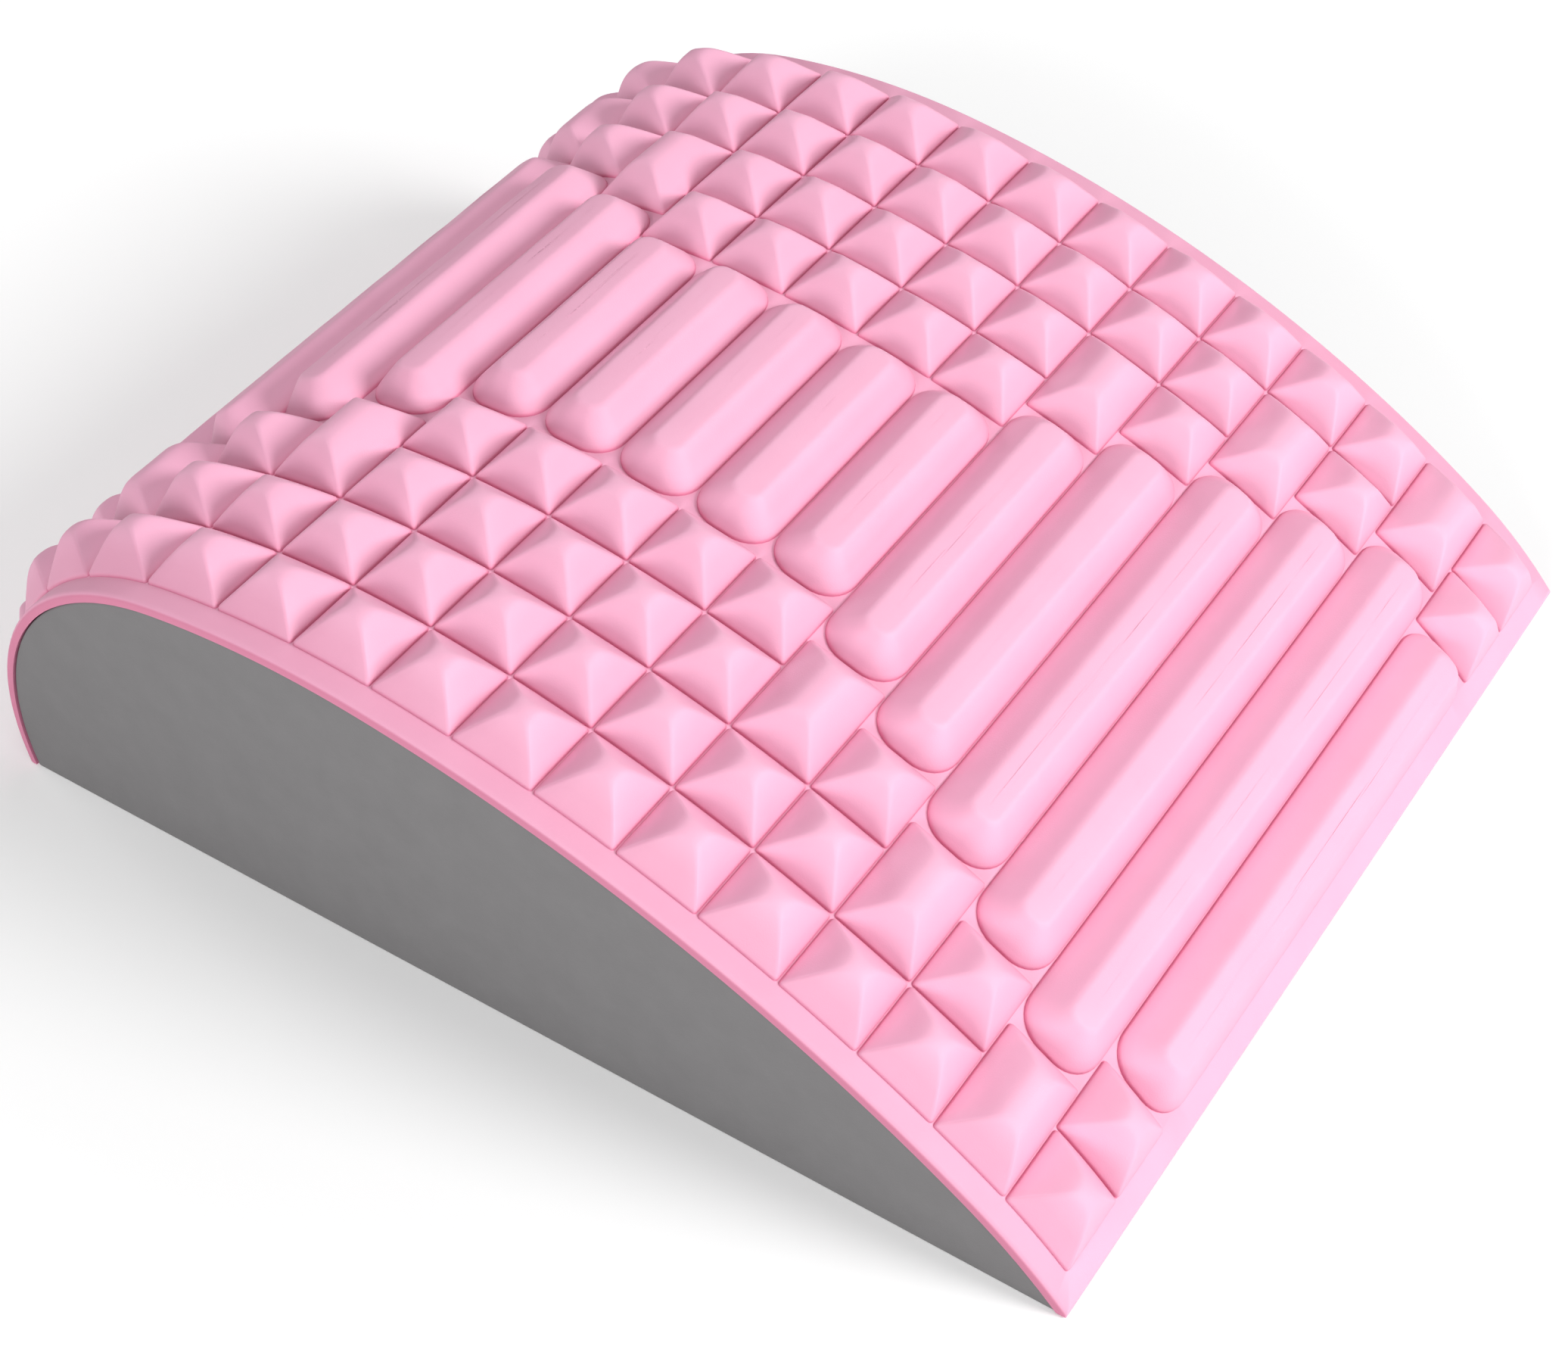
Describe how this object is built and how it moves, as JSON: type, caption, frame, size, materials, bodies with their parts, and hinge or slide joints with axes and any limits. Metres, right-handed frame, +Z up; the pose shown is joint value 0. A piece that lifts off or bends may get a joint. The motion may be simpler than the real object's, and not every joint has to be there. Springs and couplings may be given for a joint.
{
  "type": "back stretcher pillow",
  "caption": "Arched foam back-stretching pillow: a flat-bottomed core under a bonded moulded cover of round cross ribs down the middle and blunt pyramids on both sides.",
  "frame": {"origin": "on the floor, below the middle of the pillow's length and width", "axes": "+X along the length from the high round nose towards the thin end, +Y across the width, +Z up"},
  "size_m": [0.3476, 0.29, 0.1093],
  "materials": {
    "massage_cover_foam": "soft moulded closed-cell foam, pale pink, satin-matt moulded skin",
    "core_foam": "cut closed-cell foam, mid grey, fully matt with fine pores"
  },
  "bodies": {
    "root": {"massage_cover": "massage_cover_foam", "foam_core": "core_foam"}
  },
  "joints": []
}
